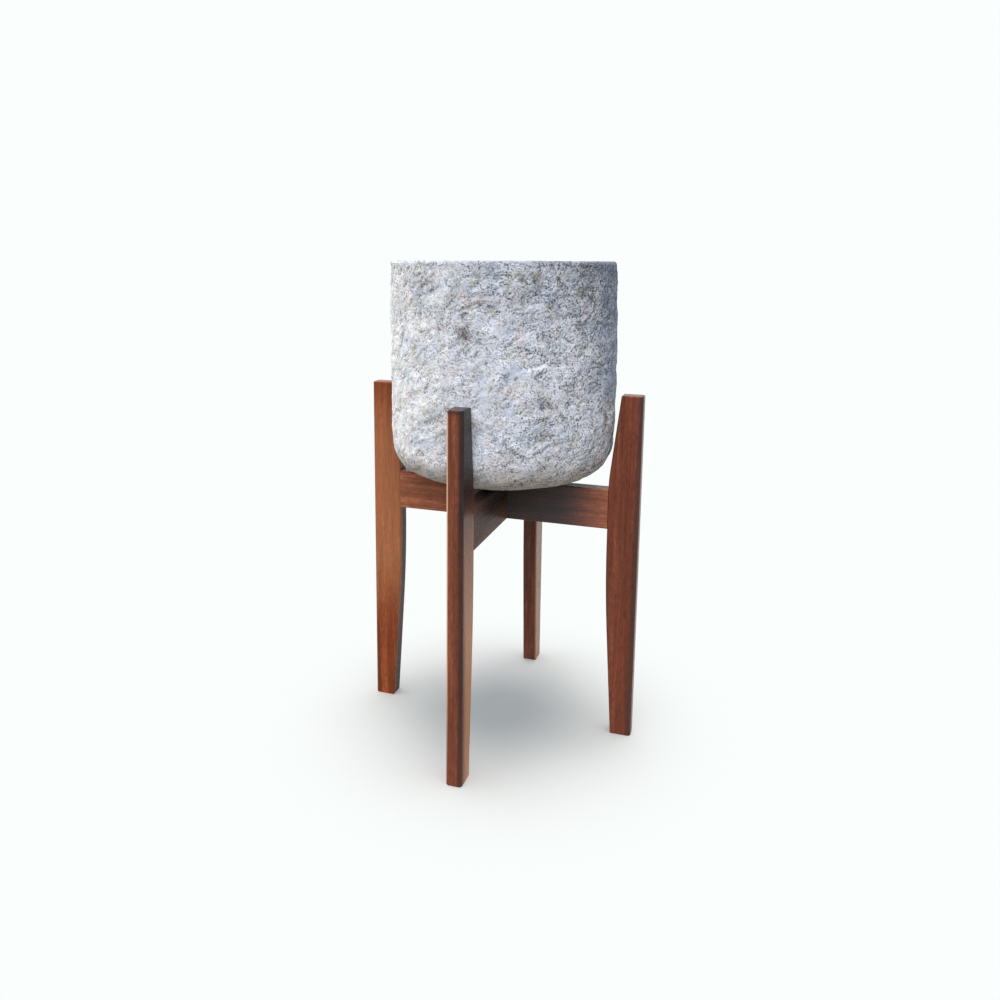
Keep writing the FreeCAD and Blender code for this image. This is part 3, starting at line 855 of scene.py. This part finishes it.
def seen_directly(graph):
    """1 for rays from the camera and for reflections, and 0 for the rest."""
    path = graph.node("ShaderNodeLightPath")
    direct = path.worked("MAXIMUM", path.out("Is Camera Ray"), path.out("Is Glossy Ray"))
    return path.worked("MAXIMUM", direct, path.out("Is Transmission Ray"))


def floor_finish(look, floor_light):
    """A pale floor that keeps the planter's shadow and fades into the background.

    Its colour is divided by the light that falls on it, so that it shows as it is written.
    """
    material, graph = new_graph("pale_floor")
    material.cycles.emission_sampling = "NONE"
    reach = graph.vector("LENGTH", graph.place()).out("Value")
    direct = seen_directly(graph)
    shown = [part / light for part, light in zip(look.floor, floor_light)]
    cloth = graph.node("ShaderNodeBsdfDiffuse", {}, {"Color": shown})
    glow = graph.mix(direct, look.bounce, look.floor)
    plain = graph.node("ShaderNodeEmission", {}, {"Color": glow, "Strength": 1.0})
    far = graph.step(reach, look.shadow_start, look.shadow_end)
    plain_share = (far - 1) * direct + 1
    graph.finish(graph.node("ShaderNodeMixShader", {}, {0: plain_share, 1: cloth, 2: plain}))
    return material


def add_sun(name, level, spread, height, turn):
    """Add a soft lamp at a height above the floor and a turn about z, both in degrees."""
    lamp = bpy.data.lights.new(name, "SUN")
    lamp.energy = math.pi * level
    lamp.angle = math.radians(spread)
    holder = bpy.data.objects.new(name, lamp)
    height, turn = math.radians(height), math.radians(turn)
    away = Vector((math.cos(turn) * math.cos(height), math.sin(turn) * math.cos(height),
                   math.sin(height)))
    holder.rotation_euler = away.to_track_quat("Z", "Y").to_euler()
    holder.location = away
    bpy.context.scene.collection.objects.link(holder)
    return holder


def spare_floor(lamps, floor):
    """Let lamps light everything but the floor, so that they cast no shadow there."""
    spared = bpy.data.collections.new("floor_without_lamps")
    spared.objects.link(floor)
    spared.collection_objects[0].light_linking.link_state = "EXCLUDE"
    for lamp in lamps:
        lamp.light_linking.receiver_collection = spared


def light_world(look):
    """Light everything evenly, and show the plain background behind."""
    world = bpy.data.worlds.new("studio")
    bpy.context.scene.world = world
    world.use_nodes = True
    graph = Graph(world.node_tree)
    direct = seen_directly(graph)
    sky = graph.node("ShaderNodeBackground", {}, {"Color": look.sky, "Strength": look.sky_level})
    plain = graph.node("ShaderNodeBackground", {}, {"Color": look.floor, "Strength": 1.0})
    mixed = graph.node("ShaderNodeMixShader", {}, {0: direct, 1: sky, 2: plain})
    graph.node("ShaderNodeOutputWorld", {}, {"Surface": mixed})


def add_camera():
    """Set the camera where the planter is seen a little from the right and from above."""
    data = bpy.data.cameras.new("camera")
    data.lens = CAMERA_LENS
    data.shift_y = CAMERA_SHIFT
    camera = bpy.data.objects.new("camera", data)
    level = math.cos(CAMERA_PITCH)
    ahead = Vector((-math.sin(CAMERA_YAW) * level, math.cos(CAMERA_YAW) * level,
                    -math.sin(CAMERA_PITCH)))
    right = Vector((math.cos(CAMERA_YAW), math.sin(CAMERA_YAW), 0))
    up = right.cross(ahead)
    cosine, sine = math.cos(CAMERA_ROLL), math.sin(CAMERA_ROLL)
    turned = Matrix((right * cosine + up * sine, up * cosine - right * sine, -ahead)).transposed()
    camera.matrix_world = Matrix.Translation(CAMERA_PLACE) @ turned.to_4x4()
    bpy.context.scene.collection.objects.link(camera)
    bpy.context.scene.camera = camera


class PLANTER_OT_pot(bpy.types.Operator):
    """Cast the rough pot over its smooth form"""

    bl_idname = "planter.pot"
    bl_label = "Cast Pot"

    def execute(self, context):
        look = context.scene.planter_pot
        places, facings, weights = pot_section(look)
        middle = slice(1, -1)
        smooth = np.repeat(places[middle, None], look.columns, axis=1)
        height, hollow, brown = cast_relief(turned_points(smooth), look)
        height = height.reshape(smooth.shape) * weights[middle, None]
        points = turned_points(smooth + height * facings[middle, None])
        settle_lip(points, look)
        poles = [[0, 0, places[end].imag + POT_LOW.z] for end in (0, -1)]
        points = np.concatenate([poles[:1], points, poles[1:]])
        points[:, 2] = np.clip(points[:, 2], POT_LOW.z, POT_HIGH.z)
        faces = turned_faces(len(places), look.columns)
        shell = add_piece("pot_rough_shell", points, faces, cement(look))
        for name, values in (("hollow", hollow), ("brown", brown)):
            layer = shell.data.attributes.new(name, "FLOAT", "POINT")
            values = values * np.repeat(weights[middle], look.columns)
            layer.data.foreach_set("value", np.concatenate([[0], values, [0]]))
        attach(shell, "pot")
        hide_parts("pot")
        return {"FINISHED"}


class PLANTER_OT_legs(bpy.types.Operator):
    """Stain the four legs"""

    bl_idname = "planter.legs"
    bl_label = "Stain Legs"

    def execute(self, context):
        look = context.scene.planter_wood
        for way, patches in leg_patches(look).items():
            leg = f"leg_{way}"
            dress([leg], stained_wood(leg, getattr(look, way), GRAIN_UP, look, patches))
        return {"FINISHED"}


class PLANTER_OT_rails(bpy.types.Operator):
    """Stain the two rails"""

    bl_idname = "planter.rails"
    bl_label = "Stain Rails"

    def execute(self, context):
        look = context.scene.planter_wood
        finishes = {
            "rail_left_right": (look.across, GRAIN_ACROSS),
            "rail_front_back": (look.deep, GRAIN_DEEP),
        }
        for rail, patches in rail_patches(look).items():
            dress([rail], stained_wood(rail, *finishes[rail], look, patches))
        return {"FINISHED"}


class PLANTER_OT_dowels(bpy.types.Operator):
    """Give the dowels inside the joints their bare wood"""

    bl_idname = "planter.dowels"
    bl_label = "Finish Dowels"

    def execute(self, context):
        look = context.scene.planter_wood
        for ways, grain in ((("left", "right"), GRAIN_ACROSS), (("front", "back"), GRAIN_DEEP)):
            wood = stained_wood(f"dowel_{ways[0]}", look.bare, grain, look)
            dress([f"dowel_{way}_{side}" for way in ways for side in ("upper", "lower")], wood)
        return {"FINISHED"}


class PLANTER_OT_stage(bpy.types.Operator):
    """Lay the floor, hang the lamps and set up the camera"""

    bl_idname = "planter.stage"
    bl_label = "Set Stage"

    def execute(self, context):
        look = context.scene.planter_stage
        light_world(look)
        add_sun("overhead_lamp", look.overhead_level, *OVERHEAD_LAMP)
        front = add_sun("front_lamp", look.front_level, *FRONT_LAMP)
        side = add_sun("side_lamp", look.side_level, *SIDE_LAMP)

        # The floor is lit by the lamp straight above, at its whole level, and by the sky
        floor_light = [look.overhead_level + look.sky_level * part for part in look.sky]
        corners = look.floor_radius * np.array([[-1, -1, 0], [1, -1, 0], [1, 1, 0], [-1, 1, 0]])
        floor = add_piece("floor", corners, [[0, 1, 2, 3]], floor_finish(look, floor_light))
        spare_floor([front, side], floor)
        add_camera()
        context.scene.view_settings.view_transform = "Standard"
        return {"FINISHED"}


class PLANTER_PT_panel(bpy.types.Panel):
    """The planter's sizes, colours and steps"""

    bl_idname = "PLANTER_PT_panel"
    bl_label = "Planter with Stand"
    bl_space_type = "VIEW_3D"
    bl_region_type = "UI"
    bl_category = "Planter"

    def draw(self, context):
        for group, steps in STEPS.items():
            box = self.layout.box()
            look = getattr(context.scene, group)
            for name in look.__annotations__:
                box.prop(look, name)
            for step in steps:
                box.operator(step.bl_idname)


STEPS = {
    "planter_pot": [PLANTER_OT_pot],
    "planter_wood": [PLANTER_OT_legs, PLANTER_OT_rails, PLANTER_OT_dowels],
    "planter_stage": [PLANTER_OT_stage],
}
LOOKS = {"planter_pot": PotLook, "planter_wood": WoodLook, "planter_stage": StageLook}
CLASSES = [*LOOKS.values(), *sum(STEPS.values(), []), PLANTER_PT_panel]


def register():
    """Register the classes and hang the looks on the scene."""
    for item in CLASSES:
        bpy.utils.register_class(item)
    for name, group in LOOKS.items():
        setattr(bpy.types.Scene, name, bpy.props.PointerProperty(type=group))


def unregister():
    """Take the looks and the classes away again."""
    for name in LOOKS:
        delattr(bpy.types.Scene, name)
    for item in reversed(CLASSES):
        bpy.utils.unregister_class(item)


def main():
    """Dress the planter step by step."""
    register()
    bpy.ops.planter.pot()
    bpy.ops.planter.legs()
    bpy.ops.planter.rails()
    bpy.ops.planter.dowels()
    bpy.ops.planter.stage()


if __name__ == "__main__":
    main()
